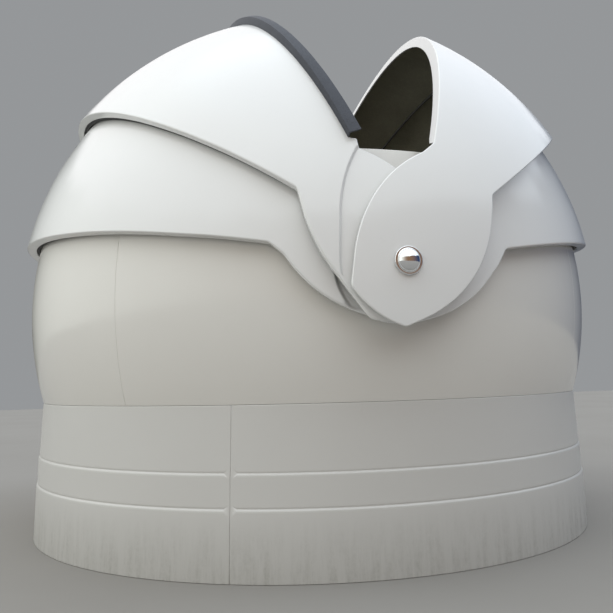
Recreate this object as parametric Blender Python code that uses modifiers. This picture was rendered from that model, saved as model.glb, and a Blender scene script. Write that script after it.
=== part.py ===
"""Clamshell observatory dome, about seven feet across, in moulded fibreglass.

A low wall ring carries a fixed ball-shaped body. Two shutters a side turn about one level axle,
that runs through the centre of the ball. Each shutter is a slice of a larger ball with a rounded
ear at either end, and the ears lie over each other on the axle: fixed body, left inner,
right inner, left outer, right outer. The left ears are stepped inward to leave room for the right.

Metres, +Z up. The origin is on the ground at the middle of the wall ring, and the axle runs along Y.
"""

import math

import bmesh
import bpy
from mathutils import Matrix, Vector

# Wall ring
WALL_RADIUS = 1.065
WALL_HEIGHT = 0.4665
WALL_THICKNESS = 0.007
WALL_FLANGE = 0.060
LEDGE_HEIGHTS = (0.277, 0.1835)
LEDGE_STEP = 0.003
LEDGE_RISE = 0.006
WALL_SEAM_AZIMUTH = -25.4

# Ball-shaped layers, all about the axle's middle
AXLE_HEIGHT = 0.849
BODY_RADIUS = 1.1305
INNER_RADIUS = 1.181
LEFT_OUTER_RADIUS = 1.2275
RIGHT_OUTER_RADIUS = 1.243
SHELL_THICKNESS = 0.007
EAR_THICKNESS = 0.007
FLANGE_THICKNESS = 0.007
BODY_FLANGE_DEPTH = 0.045
BODY_LIP_RADIUS = BODY_RADIUS - BODY_FLANGE_DEPTH
INNER_LIP_RADIUS = 1.1455
OUTER_LIP_RADIUS = 1.196
OUTER_RECESS = 0.009
INNER_RECESS = 0.0165

# Angles of the shutters' edges from straight up, as they stand half open
OUTER_RIM_ANGLE = 55.0
LEFT_CLOSING_ANGLE = 19.4
RIGHT_CLOSING_ANGLE = 18.9
INNER_RIM_ANGLE = 80.5
INNER_TOP_ANGLE = 31.0
SILL_ANGLE = 76.0

# Seals
SEAL_GAP = 0.0085
RIM_SEAL_THICKNESS = 0.005
RIM_SEAL_DEPTH = 0.022
RIM_SEAL_START = 0.420
FLAP_FOOT = 0.0045
FLAP_EDGE = 0.002
FLAP_REACH = 0.036
FLAP_THICKNESS = 0.006
FLAP_GAP = 0.006
FLAP_START = 0.406

# Axle fittings
AXLE_RADIUS = 0.016
AXLE_HEAD_RADIUS = 0.028
AXLE_HEAD_LENGTH = 0.012
BUSH_HOLE_RADIUS = 0.0225
BUSH_RADIUS = 0.0222
BUSH_BORE_RADIUS = 0.0169
BUSH_FLANGE_RADIUS = 0.036
BUSH_FLANGE_THICKNESS = 0.002
PLATE_RADIUS = 0.080
PLATE_THICKNESS = 0.010
CAP_RADIUS = 0.041
CAP_DOME_RADIUS = 0.033
CAP_RIM = 0.006
CAP_ROUND = 0.002
CAP_HEIGHT = 0.027
CAP_CLEARANCE = 0.003

GAP = 0.0003
REACH = 1.6
SHUTTER_RINGS = 36
BODY_RINGS = 20
WALL_STEPS = 48
HUB_STEPS = 20
SHAFT_STEPS = 14
GROUND = Matrix.Identity(4)
PIVOT = Matrix.Translation((0, 0, AXLE_HEIGHT))
FACE_THE_FRONT = PIVOT @ Matrix.Rotation(math.radians(90), 4, "X")


def clear_scene():
    for ob in list(bpy.data.objects):
        bpy.data.objects.remove(ob)


def new_collection(name):
    collection = bpy.data.collections.new(name)
    bpy.context.scene.collection.children.link(collection)
    return collection


def material(name, colour, roughness, metallic=0.0):
    mat = bpy.data.materials.new(name)
    mat.use_nodes = True
    shader = mat.node_tree.nodes["Principled BSDF"]
    shader.inputs["Base Color"].default_value = (*colour, 1.0)
    shader.inputs["Roughness"].default_value = roughness
    shader.inputs["Metallic"].default_value = metallic
    return mat


def put(ob, collection):
    for old in list(ob.users_collection):
        old.objects.unlink(ob)
    collection.objects.link(ob)
    return ob


def as_cutter(ob):
    ob.hide_render = True
    ob.display_type = "WIRE"
    return put(ob, CUTTERS)


def boolean(ob, operation, other):
    modifier = ob.modifiers.new(operation.title() + " " + other.name, "BOOLEAN")
    modifier.operation = operation
    modifier.solver = "EXACT"
    modifier.object = other
    return ob


def polar(angle, distance):
    """A point seen along the axle from the front: angle from straight up, positive to the right."""
    return (distance * math.sin(math.radians(angle)), distance * math.cos(math.radians(angle)))


def mirrored(outline):
    return [(-x, y) for x, y in outline]


def arc(first, middle, last, steps):
    """Points along the circle through three points, the first and the last included."""
    (x1, y1), (x2, y2), (x3, y3) = first, middle, last
    d = 2 * (x1 * (y2 - y3) + x2 * (y3 - y1) + x3 * (y1 - y2))
    s1, s2, s3 = x1 * x1 + y1 * y1, x2 * x2 + y2 * y2, x3 * x3 + y3 * y3
    cx = (s1 * (y2 - y3) + s2 * (y3 - y1) + s3 * (y1 - y2)) / d
    cy = (s1 * (x3 - x2) + s2 * (x1 - x3) + s3 * (x2 - x1)) / d
    radius = math.hypot(x1 - cx, y1 - cy)
    a1 = math.atan2(y1 - cy, x1 - cx)
    turn = math.atan2(y3 - cy, x3 - cx) - a1
    via = math.atan2(y2 - cy, x2 - cx) - a1
    turn %= 2 * math.pi
    via %= 2 * math.pi
    if via > turn:
        turn -= 2 * math.pi
    angles = [a1 + turn * i / steps for i in range(steps + 1)]
    return [(cx + radius * math.cos(a), cy + radius * math.sin(a)) for a in angles]


def inset(outline, width):
    """The outline moved inward by a width, with mitred corners."""
    area = sum(a[0] * b[1] - b[0] * a[1] for a, b in zip(outline, outline[1:] + outline[:1]))
    side = 1.0 if area > 0 else -1.0
    moved = []
    for before, here, after in zip(outline[-1:] + outline[:-1], outline, outline[1:] + outline[:1]):
        before, here, after = Vector(before), Vector(here), Vector(after)
        into = (here - before).normalized()
        out = (after - here).normalized()
        n1 = Vector((-into.y, into.x)) * side
        n2 = Vector((-out.y, out.x)) * side
        miter = (n1 + n2).normalized()
        moved.append(tuple(here + miter * (width / max(miter.dot(n1), 0.3))))
    return moved


def prism(name, outline, half_length, place):
    """A flat outline given a thickness either side of its plane, as a closed mesh."""
    curve = bpy.data.curves.new(name, "CURVE")
    curve.dimensions = "2D"
    curve.fill_mode = "BOTH"
    curve.extrude = half_length
    spline = curve.splines.new("POLY")
    spline.points.add(len(outline) - 1)
    for point, (x, y) in zip(spline.points, outline):
        point.co = (x, y, 0.0, 1.0)
    spline.use_cyclic_u = True
    guide = bpy.data.objects.new(name, curve)
    bpy.context.scene.collection.objects.link(guide)
    bpy.context.view_layer.update()
    solid = bpy.data.meshes.new_from_object(guide.evaluated_get(bpy.context.evaluated_depsgraph_get()))
    bpy.data.objects.remove(guide)
    work = bmesh.new()
    work.from_mesh(solid)
    bmesh.ops.remove_doubles(work, verts=work.verts, dist=1e-6)
    bmesh.ops.recalc_face_normals(work, faces=work.faces)
    work.to_mesh(solid)
    work.free()
    ob = bpy.data.objects.new(name, solid)
    ob.matrix_world = place
    return put(ob, CUTTERS)


def side_prism(name, outline):
    """A prism along the axle, from an outline seen from the front."""
    return as_cutter(prism(name, outline, REACH, FACE_THE_FRONT))


def kept_meridian(index, ring, rings):
    """Near a pole, where the meridians crowd, only every second, third or sixth is kept."""
    tilt = 180.0 * ring / rings
    from_pole = min(tilt, 180.0 - tilt)
    for limit, every in ((8, 6), (17, 3), (32, 2)):
        if from_pole < limit:
            return index - index % every
    return index


def unit_ball(rings):
    """A ball of near equal faces with its poles on Z, and twice as many meridians at its waist as rings."""
    segments = 2 * rings
    work = bmesh.new()
    bmesh.ops.create_uvsphere(work, u_segments=segments, v_segments=rings, radius=1.0)
    grid = {}
    for vert in work.verts:
        ring = round(math.acos(max(-1.0, min(1.0, vert.co.z))) / math.pi * rings)
        if 0 < ring < rings:
            turn = math.atan2(vert.co.y, vert.co.x) / (2 * math.pi) % 1.0
            grid[(ring, round(turn * segments) % segments)] = vert
    merges = {}
    for (ring, index), vert in grid.items():
        kept = kept_meridian(index, ring, rings)
        if kept != index:
            merges[vert] = grid[(ring, kept)]
    bmesh.ops.weld_verts(work, targetmap=merges)
    bmesh.ops.connect_verts_nonplanar(work, angle_limit=math.radians(0.01), faces=work.faces)
    return work


def ball(name, radius, rings=SHUTTER_RINGS):
    """A ball about the axle's middle, with its poles on the axle."""
    work = unit_ball(rings)
    work.transform(Matrix.Rotation(math.radians(90), 4, "X") @ Matrix.Scale(radius, 4))
    mesh = bpy.data.meshes.new(name)
    work.to_mesh(mesh)
    work.free()
    ob = bpy.data.objects.new(name, mesh)
    bpy.context.scene.collection.objects.link(ob)
    ob.matrix_world = PIVOT
    return ob


def turned(name, profile, place, steps, closed=False):
    """A profile of (radius, height) turned about the local Z axis."""
    mesh = bpy.data.meshes.new(name)
    edges = [(i, i + 1) for i in range(len(profile) - 1)]
    if closed:
        edges.append((len(profile) - 1, 0))
    mesh.from_pydata([(r, 0.0, h) for r, h in profile], edges, [])
    ob = bpy.data.objects.new(name, mesh)
    bpy.context.scene.collection.objects.link(ob)
    ob.matrix_world = place
    screw = ob.modifiers.new("Turn", "SCREW")
    screw.axis = "Z"
    screw.angle = math.radians(360)
    screw.steps = steps
    screw.render_steps = steps
    screw.use_merge_vertices = True
    screw.merge_threshold = 0.0001
    return ob


def finish(ob, mat, angle=30):
    ob.data.materials.clear()
    ob.data.materials.append(mat)
    ob.data.shade_smooth()
    ob.data.set_sharp_from_angle(angle=math.radians(angle))
    return put(ob, PARTS)


def shell_piece(name, radius, lip_radius, trims, pocket_trims, rings, mat):
    """A ball trimmed by prisms, hollowed to its flanges' depth, then to its wall inside the flanges."""
    shell = ball(name, radius, rings)
    for trim in trims:
        boolean(shell, "INTERSECT", trim)
    boolean(shell, "DIFFERENCE", as_cutter(ball(name + " hollow", lip_radius, rings)))
    pocket = as_cutter(ball(name + " pocket", radius - SHELL_THICKNESS, rings))
    for trim in pocket_trims:
        boolean(pocket, "INTERSECT", trim)
    boolean(shell, "DIFFERENCE", pocket)
    return finish(shell, mat), pocket


def outside_ball(name, zone, radius):
    """What lies in a zone seen from the front and outside a radius."""
    cutter = side_prism(name, zone)
    return boolean(cutter, "DIFFERENCE", as_cutter(ball(name + " core", radius)))


def hub_hole(ob, radius):
    """A round hole through both ears, on the axle."""
    bpy.ops.mesh.primitive_cylinder_add(vertices=HUB_STEPS, radius=radius, depth=2 * REACH)
    drill = bpy.context.object
    drill.name = ob.name + " axle hole"
    drill.data.transform(Matrix.Rotation(math.radians(90), 4, "X"))
    drill.matrix_world = PIVOT
    return boolean(ob, "DIFFERENCE", as_cutter(drill))


# Outlines seen from the front along the axle, with the axle at (0, 0). A left shutter's outline is
# written as its mirror image on the right, so that all four read alike.

def slice_of_ball(rim_angle, knee, top_angle, corner):
    """The far part of a shutter: out along its rim and back along its top edge."""
    rim = [polar(rim_angle, knee), polar(rim_angle, REACH)]
    return rim + [polar(top_angle, REACH), polar(top_angle, corner)]


def right_outer_outline():
    far = slice_of_ball(OUTER_RIM_ANGLE, 0.377, RIGHT_CLOSING_ANGLE, 0.396)
    near_side = arc((0.086, 0.340), (-0.073, 0.211), (-0.155, 0.001), 8)
    foot = arc((-0.164, -0.069), (-0.108, -0.131), (-0.008, -0.183), 3)
    far_side = arc((0.051, -0.159), (0.223, -0.023), (0.291, 0.135), 6)
    return far + near_side + foot + far_side


def left_outer_outline():
    far = slice_of_ball(OUTER_RIM_ANGLE, 0.372, LEFT_CLOSING_ANGLE, 0.404)
    tab = [(0.112, 0.382)]
    near_side = arc((0.110, 0.352), (-0.052, 0.238), (-0.158, 0.020), 8)
    foot = [(-0.142, -0.055), (-0.105, -0.105), (-0.055, -0.145), (0.0, -0.165), (0.044, -0.168)]
    far_side = arc((0.102, -0.159), (0.204, -0.032), (0.284, 0.136), 6)
    return far + tab + near_side + foot + far_side


def inner_outline(far_side):
    """The inner shutters' ears differ only along their far side."""
    far = slice_of_ball(INNER_RIM_ANGLE, 0.381, INNER_TOP_ANGLE, 0.395)
    near_side = arc((0.150, 0.330), (-0.030, 0.228), (-0.155, 0.040), 7)
    foot = [(-0.160, -0.030), (-0.135, -0.095), (-0.070, -0.148), (0.0, -0.172), (0.052, -0.166)]
    return far + near_side + foot + far_side


def left_inner_outline():
    return inner_outline(arc((0.100, -0.145), (0.230, -0.084), (0.334, 0.031), 6))


def right_inner_outline():
    return inner_outline(arc((0.103, -0.153), (0.240, -0.087), (0.333, 0.003), 6))


def left_outer_recess():
    """The part of the left outer ear that is stepped inward, under the right outer ear."""
    step = arc((0.116, 0.348), (0.167, 0.228), (0.181, 0.150), 4)
    step += [(0.187, 0.040), (0.184, -0.053), (0.205, -0.090)]
    return [(0.085, 0.372)] + step + [(0.100, -0.260), (-0.300, -0.260), (-0.300, 0.372)]


def left_inner_recess():
    """The part of the left inner ear that is stepped inward, along a circle about the axle."""
    step = [polar(angle, 0.192) for angle in range(75, 146, 10)]
    return [(0.115, 0.420), (0.150, 0.300)] + step + [(0.080, -0.260), (-0.300, -0.260), (-0.300, 0.420)]


def right_ear_zone():
    """Where a right ear has plain edges, because a left ear passes close under it."""
    return [(-0.300, -0.250), (0.110, -0.250), (0.190, -0.070), (0.195, 0.100), (0.170, 0.300),
            (0.150, 0.384), (0.112, 0.400), (-0.300, 0.400)]


def right_inner_ear_zone():
    return [(-0.300, -0.250), (0.110, -0.250), (0.190, -0.070), (0.195, 0.100), (0.225, 0.220),
            (0.245, 0.430), (-0.300, 0.430)]


def body_outline():
    """The fixed body seen from the front: level at the wall, a sill at each side, an ear in the middle."""
    foot = WALL_HEIGHT + GAP - AXLE_HEIGHT
    sill = [polar(SILL_ANGLE, REACH), polar(SILL_ANGLE, 0.50)]
    ear_side = arc((0.400, 0.165), (0.352, 0.245), (0.325, 0.320), 4)
    ear_corner = arc((0.305, 0.358), (0.286, 0.376), (0.255, 0.383), 3)
    right = [(REACH, foot)] + sill + ear_side + ear_corner
    return right + mirrored(right)[::-1]


def make_shutters():
    outlines = {
        "shutter_left_outer": mirrored(left_outer_outline()),
        "shutter_left_inner": mirrored(left_inner_outline()),
        "shutter_right_outer": right_outer_outline(),
        "shutter_right_inner": right_inner_outline(),
    }
    radii = {
        "shutter_left_outer": (LEFT_OUTER_RADIUS, OUTER_LIP_RADIUS),
        "shutter_left_inner": (INNER_RADIUS, INNER_LIP_RADIUS),
        "shutter_right_outer": (RIGHT_OUTER_RADIUS, OUTER_LIP_RADIUS),
        "shutter_right_inner": (INNER_RADIUS, INNER_LIP_RADIUS),
    }
    recesses = {
        "shutter_left_outer": (left_outer_recess(), OUTER_RECESS),
        "shutter_left_inner": (left_inner_recess(), INNER_RECESS),
    }
    plain_edges = {
        "shutter_right_outer": right_ear_zone(),
        "shutter_right_inner": right_inner_ear_zone(),
    }
    for name, outline in outlines.items():
        radius, lip = radii[name]
        trim = side_prism(name + " outline", outline)
        inner_trim = side_prism(name + " inner outline", inset(outline, FLANGE_THICKNESS))
        white = material(name + " gelcoat", (0.78, 0.79, 0.78), 0.22)
        shell, pocket = shell_piece(name, radius, lip, [trim], [inner_trim], SHUTTER_RINGS, white)
        if name in recesses:
            zone, depth = recesses[name]
            zone = mirrored(zone)
            boolean(shell, "DIFFERENCE", outside_ball(name + " step", zone, radius - depth))
            wide = inset(zone, -SHELL_THICKNESS)
            under = outside_ball(name + " step wall", wide, radius - depth - SHELL_THICKNESS)
            boolean(pocket, "DIFFERENCE", under)
        if name in plain_edges:
            thin = as_cutter(ball(name + " ear", radius - EAR_THICKNESS))
            boolean(thin, "INTERSECT", side_prism(name + " ear zone", plain_edges[name]))
            boolean(shell, "DIFFERENCE", thin)
        hub_hole(shell, BUSH_HOLE_RADIUS)


def quarter_plan(middle_azimuth, margin):
    """A quarter seen from above, facing an azimuth measured from the front, less a margin at both sides."""
    middle, eighth = math.radians(middle_azimuth - 90), math.radians(45)
    apex = Vector((math.cos(middle), math.sin(middle))) * margin / math.sin(eighth)
    corners = [apex]
    for angle in (middle - eighth, middle + eighth):
        corners.append(apex + Vector((math.cos(angle), math.sin(angle))) * 1.5 * REACH)
    return [tuple(corner) for corner in corners]


QUARTERS = {"front": 0, "right": 90, "back": 180, "left": -90}


def make_fixed_body():
    outline = body_outline()
    trim = side_prism("body outline", outline)
    inner_trim = side_prism("body inner outline", inset(outline, FLANGE_THICKNESS))
    for side, azimuth in QUARTERS.items():
        name = "fixed_body_" + side
        cream = material(name + " gelcoat", (0.70, 0.68, 0.63), 0.25)
        plan, inner_plan = quarter_plan(azimuth, GAP / 2), quarter_plan(azimuth, FLANGE_THICKNESS)
        trims = [trim, as_cutter(prism(name + " quarter", plan, REACH, PIVOT))]
        inner_trims = [inner_trim, as_cutter(prism(name + " inner quarter", inner_plan, REACH, PIVOT))]
        shell, _ = shell_piece(name, BODY_RADIUS, BODY_LIP_RADIUS, trims, inner_trims, BODY_RINGS, cream)
        if side in ("front", "back"):
            hub_hole(shell, BUSH_BORE_RADIUS)


def wall_profile():
    """The outer face steps outward twice on the way down, and each band leans back in a little."""
    upper, lower = LEDGE_HEIGHTS
    inside = WALL_RADIUS - WALL_FLANGE
    return [
        (inside, WALL_HEIGHT),
        (WALL_RADIUS, WALL_HEIGHT),
        (WALL_RADIUS, upper + LEDGE_RISE),
        (WALL_RADIUS + LEDGE_STEP, upper),
        (WALL_RADIUS + LEDGE_STEP / 3, lower + LEDGE_RISE),
        (WALL_RADIUS + LEDGE_STEP * 4 / 3, lower),
        (WALL_RADIUS + LEDGE_STEP / 3, 0.0),
        (inside, 0.0),
    ]


def make_wall():
    skin = WALL_RADIUS - WALL_THICKNESS
    well_inside = WALL_RADIUS - 2 * WALL_FLANGE
    room = [
        (well_inside, WALL_HEIGHT - WALL_THICKNESS),
        (skin, WALL_HEIGHT - WALL_THICKNESS),
        (skin, WALL_THICKNESS),
        (well_inside, WALL_THICKNESS),
    ]
    for number in range(4):
        name = "wall_panel_%d" % (number + 1)
        azimuth = WALL_SEAM_AZIMUTH + 45 + 90 * number
        panel = turned(name, wall_profile(), GROUND, WALL_STEPS, closed=True)
        quarter = prism(name + " quarter", quarter_plan(azimuth, GAP / 2), REACH, GROUND)
        boolean(panel, "INTERSECT", as_cutter(quarter))
        hollow = as_cutter(turned(name + " hollow", room, GROUND, WALL_STEPS, closed=True))
        inner_quarter = prism(name + " inner quarter", quarter_plan(azimuth, WALL_THICKNESS), REACH, GROUND)
        boolean(hollow, "INTERSECT", as_cutter(inner_quarter))
        boolean(panel, "DIFFERENCE", hollow)
        finish(panel, material(name + " gelcoat", (0.66, 0.66, 0.64), 0.3))


def edge_strip(angle, near, start, end):
    """A strip along a line out from the axle, from start to end across it, away from straight up."""
    along = Vector(polar(angle, 1.0))
    across = Vector((along.y, -along.x))
    corners = [(near, start), (REACH, start), (REACH, end), (near, end)]
    return [tuple(along * reach + across * side) for reach, side in corners]


def make_rim_seals():
    """A black strip inside each rim's flange, that reaches down close to the shell below."""
    rims = {
        "rim_seal_left_outer": (-1, OUTER_RIM_ANGLE, INNER_RADIUS),
        "rim_seal_left_inner": (-1, INNER_RIM_ANGLE, BODY_RADIUS),
        "rim_seal_right_outer": (1, OUTER_RIM_ANGLE, INNER_RADIUS),
        "rim_seal_right_inner": (1, INNER_RIM_ANGLE, BODY_RADIUS),
    }
    inner_face = -(FLANGE_THICKNESS + GAP)
    for name, (side, angle, below) in rims.items():
        strip = edge_strip(angle, RIM_SEAL_START, inner_face - RIM_SEAL_THICKNESS, inner_face)
        strip = strip if side > 0 else mirrored(strip)
        lowest = below + SEAL_GAP
        seal = ball(name, lowest + RIM_SEAL_DEPTH)
        boolean(seal, "INTERSECT", side_prism(name + " outline", strip))
        boolean(seal, "DIFFERENCE", as_cutter(ball(name + " hollow", lowest)))
        finish(seal, material(name + " rubber", (0.015, 0.015, 0.016), 0.6))


def closing_seal_profile():
    """A foot along the left shell's edge, and a flap that reaches out from its top over the gap.

    Each point is given across the closing edge, away from straight up, and out from the axle's middle."""
    foot = LEFT_OUTER_RADIUS + GAP
    underside = RIGHT_OUTER_RADIUS + FLAP_GAP
    top = underside + FLAP_THICKNESS
    section = [
        (FLAP_FOOT, foot + FLAP_EDGE),
        (FLAP_EDGE, top),
        (-FLAP_REACH, top),
        (-FLAP_REACH, underside),
        (0.0, underside),
        (0.0, foot),
        (FLAP_FOOT, foot),
    ]
    return [(math.sqrt(radius ** 2 - across ** 2), across) for across, radius in section]


def make_closing_seal():
    """The slate strip on the left outer shutter's top edge, that laps over the right one when closed.

    It has two steps to each ring of the shutters, so that its corners lie over theirs."""
    name = "closing_seal"
    lean = Matrix.Rotation(math.radians(-90 - LEFT_CLOSING_ANGLE), 4, "Y")
    place = PIVOT @ lean @ Matrix.Rotation(math.radians(-90), 4, "Z")
    seal = turned(name, closing_seal_profile(), place, 4 * SHUTTER_RINGS, closed=True)
    whole = edge_strip(LEFT_CLOSING_ANGLE, FLAP_START, -2 * FLAP_REACH, 2 * FLAP_REACH)
    boolean(seal, "INTERSECT", side_prism(name + " outline", mirrored(whole)))
    finish(seal, material("closing seal rubber", (0.09, 0.10, 0.13), 0.55))


def near_pole(radius, distance, rings=SHUTTER_RINGS):
    """How far out along the axle the flat faces round a ball's pole lie, at a distance from the axle."""
    work = unit_ball(rings)
    pole = max(work.verts, key=lambda vert: vert.co.z)
    slope = max(face.normal.xy.length / face.normal.z for face in pole.link_faces)
    work.free()
    return radius - distance * slope


def make_axle(end, place):
    plate_face = near_pole(BODY_RADIUS - SHELL_THICKNESS, PLATE_RADIUS, BODY_RINGS) - GAP
    plate_back = plate_face - PLATE_THICKNESS
    cap_base = RIGHT_OUTER_RADIUS + CAP_CLEARANCE
    plate = [
        (BUSH_BORE_RADIUS, plate_face),
        (PLATE_RADIUS, plate_face),
        (PLATE_RADIUS, plate_back),
        (BUSH_BORE_RADIUS, plate_back),
    ]
    zinc = material("axle plate zinc " + end, (0.55, 0.55, 0.53), 0.35, 1.0)
    finish(turned("axle_plate_" + end, plate, place, HUB_STEPS, closed=True), zinc)
    head = plate_back - GAP
    shaft = [
        (0.0, cap_base - GAP),
        (AXLE_RADIUS, cap_base - GAP),
        (AXLE_RADIUS, head),
        (AXLE_HEAD_RADIUS, head),
        (AXLE_HEAD_RADIUS, head - AXLE_HEAD_LENGTH),
        (0.0, head - AXLE_HEAD_LENGTH),
    ]
    steel = material("axle steel " + end, (0.50, 0.50, 0.50), 0.3, 1.0)
    finish(turned("axle_" + end, shaft, place, SHAFT_STEPS), steel)
    brim = cap_base + CAP_RIM
    cap = [(0.0, cap_base + CAP_HEIGHT)]
    for angle in (75, 60, 45, 30, 15, 0):
        t = math.radians(angle)
        cap.append((CAP_DOME_RADIUS * math.cos(t), brim + (CAP_HEIGHT - CAP_RIM) * math.sin(t)))
    cap.append((CAP_RADIUS - CAP_ROUND, brim))
    cap.append((CAP_RADIUS, brim - CAP_ROUND))
    cap.append((CAP_RADIUS, cap_base))
    cap.append((0.0, cap_base))
    chrome = material("axle cap chrome " + end, (0.8, 0.8, 0.8), 0.08, 1.0)
    finish(turned("axle_cap_" + end, cap, place, HUB_STEPS), chrome)


def make_bushes(end, place):
    """A flanged bush in each ear, that turns on the axle."""
    ears = {
        "bush_left_inner_": (INNER_RADIUS - INNER_RECESS, SHELL_THICKNESS),
        "bush_right_inner_": (INNER_RADIUS, EAR_THICKNESS),
        "bush_left_outer_": (LEFT_OUTER_RADIUS - OUTER_RECESS, SHELL_THICKNESS),
        "bush_right_outer_": (RIGHT_OUTER_RADIUS, EAR_THICKNESS),
    }
    for name, (radius, thickness) in ears.items():
        outer_end = near_pole(radius, BUSH_RADIUS)
        flange = near_pole(radius - thickness, BUSH_FLANGE_RADIUS) - GAP
        profile = [
            (BUSH_BORE_RADIUS, outer_end),
            (BUSH_RADIUS, outer_end),
            (BUSH_RADIUS, flange),
            (BUSH_FLANGE_RADIUS, flange),
            (BUSH_FLANGE_RADIUS, flange - BUSH_FLANGE_THICKNESS),
            (BUSH_BORE_RADIUS, flange - BUSH_FLANGE_THICKNESS),
        ]
        bronze = material(name + end + " bronze", (0.45, 0.32, 0.16), 0.4, 1.0)
        finish(turned(name + end, profile, place, SHAFT_STEPS, closed=True), bronze)


clear_scene()
PARTS = new_collection("Observatory dome")
CUTTERS = new_collection("Cutters")
make_wall()
make_fixed_body()
make_shutters()
make_rim_seals()
make_closing_seal()
for end, quarter_turn in (("front", 90), ("back", -90)):
    outward = PIVOT @ Matrix.Rotation(math.radians(quarter_turn), 4, "X")
    make_axle(end, outward)
    make_bushes(end, outward)
bpy.context.view_layer.update()
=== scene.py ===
"""Looks for the clamshell observatory dome: smooth moulded shells, seals and fittings round its solids.

Every shell is cut from one surface, a ball about the axle or the drum of the wall ring. Its outline is
given on that surface, its rim is swept round the outline, and its two faces are filled in between.
Metres, +Z up, with the axle along Y. A left piece is the mirror image of an outline drawn on the right.
"""

from math import acos, asin, atan, atan2, ceil, cos, hypot, pi, radians, sin, sqrt, tan, tau

import bmesh
import bpy
import numpy as np
from mathutils import Matrix, Vector
from mathutils.geometry import delaunay_2d_cdt


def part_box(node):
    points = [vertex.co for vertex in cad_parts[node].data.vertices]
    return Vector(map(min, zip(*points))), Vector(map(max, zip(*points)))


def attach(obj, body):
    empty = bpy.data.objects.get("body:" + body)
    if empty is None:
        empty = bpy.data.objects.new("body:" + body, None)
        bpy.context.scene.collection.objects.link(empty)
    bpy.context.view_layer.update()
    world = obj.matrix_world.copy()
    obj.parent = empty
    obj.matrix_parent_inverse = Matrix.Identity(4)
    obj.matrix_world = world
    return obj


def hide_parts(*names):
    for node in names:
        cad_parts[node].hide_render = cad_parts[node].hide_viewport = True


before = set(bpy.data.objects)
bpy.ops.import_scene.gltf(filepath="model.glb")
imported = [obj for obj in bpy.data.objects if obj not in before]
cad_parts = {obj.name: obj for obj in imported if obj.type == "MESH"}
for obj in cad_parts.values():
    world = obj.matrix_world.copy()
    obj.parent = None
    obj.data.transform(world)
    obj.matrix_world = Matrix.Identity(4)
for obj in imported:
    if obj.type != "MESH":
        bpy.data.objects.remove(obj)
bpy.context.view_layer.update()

# Sizes of the solids. A lip is the radius that a shell's flange reaches in to, and where there is no
# flange the edge is PLAIN_DEPTH deep
AXLE_HEIGHT = 0.849
WALL_RADIUS = 1.065
WALL_HEIGHT = 0.4665
WALL_FLANGE = 0.060
WALL_SEAM_AZIMUTH = -25.4
LOWER_LEDGE = 0.1835
UPPER_LEDGE = 0.277
BODY_RADIUS = 1.1305
BODY_LIP = 1.0855
BODY_EAR_TOP = 0.383
INNER_RADIUS = 1.181
INNER_LIP = 1.1455
LEFT_OUTER_RADIUS = 1.2275
LEFT_OUTER_LIP = 1.199
RIGHT_OUTER_RADIUS = 1.243
RIGHT_OUTER_LIP = 1.196
SKIN = 0.007
PLAIN_DEPTH = SKIN + 0.001
GAP = 0.0003
AXLE_HOLE = 0.0169
BUSH_HOLE = 0.0225

# Angles of the edges from straight up
OUTER_RIM = 55.0
LEFT_CLOSING = 19.4
RIGHT_CLOSING = 18.9
INNER_RIM = 80.5
INNER_TOP = 31.0
SILL = 76.0

# A left rim runs a little higher near its ends: at these distances from the axle, by these degrees
OUTER_LIFT = ((0.37, 0.52, 0.70, 0.85), (1.0, 0.6, 0.2, 0.0))
INNER_LIFT = ((0.44, 0.63, 0.82, 1.00), (0.8, 0.3, 0.2, 0.0))
NO_LIFT = ((0.0,), (0.0,))

# Steps inward on the left ears: how deep, and how far their slope reaches either side
OUTER_STEP = (0.0075, 0.0048)
INNER_STEP = (0.0165, 0.0060)

# Seals
CLOSING_SEAL_START = 0.406
CLOSING_SEAL_REACH = 0.036
CLOSING_SEAL_FOOT = 0.0045
CLOSING_SEAL_CLEARANCE = 0.006
CLOSING_SEAL_THICKNESS = 0.006
RIM_SEAL_START = 0.420
RIM_SEAL_THICKNESS = 0.005
RIM_SEAL_FOOT = 0.0045
RIM_SEAL_HEIGHT = 0.026

# Roundings
SHELL_EDGE = 0.0045
SOFT_EDGE = 0.0090
BODY_SEAM_EDGE = 0.0012
PANEL_EDGE = 0.0016
PANEL_TOP_EDGE = 0.0032
LIP_ROUND = 0.0018
FILLET = 0.004
SEAL_ROUND = 0.0012
CORNER_SOFTNESS = 0.006
FLANGE_RAMP = 0.012

# Fineness of the meshes
FILL_STEP = 0.032
LOOP_STEP = 0.026
LOOP_TURN = radians(5)
FINE_STEP = 0.002
TANGENT_STEP = 0.0005
NORMAL_STEP = 0.0008
CREASE_MARGIN = 0.0025
HOLE_POINTS = 40
HOLE_RINGS = (1.0, 1.35, 1.9)

PIVOT = np.array([0.0, 0.0, AXLE_HEIGHT])
FRONT, BACK = -1, 1
LEFT, RIGHT = -1, 1


# Outlines seen from the front, with the axle at (0, 0)

def polar(angle, distance):
    """The point at an angle from straight up, positive to the right."""
    turn = radians(angle)
    return distance * sin(turn), distance * cos(turn)


def lifted(angle, lift, distance):
    """A rim's angle at a distance from the axle."""
    return angle - np.interp(distance, *lift)


def on_edge(angle, lift, *distances):
    """Points on a straight edge or rim, at their distances from the axle."""
    return [polar(lifted(angle, lift, distance), distance) for distance in distances]


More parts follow.
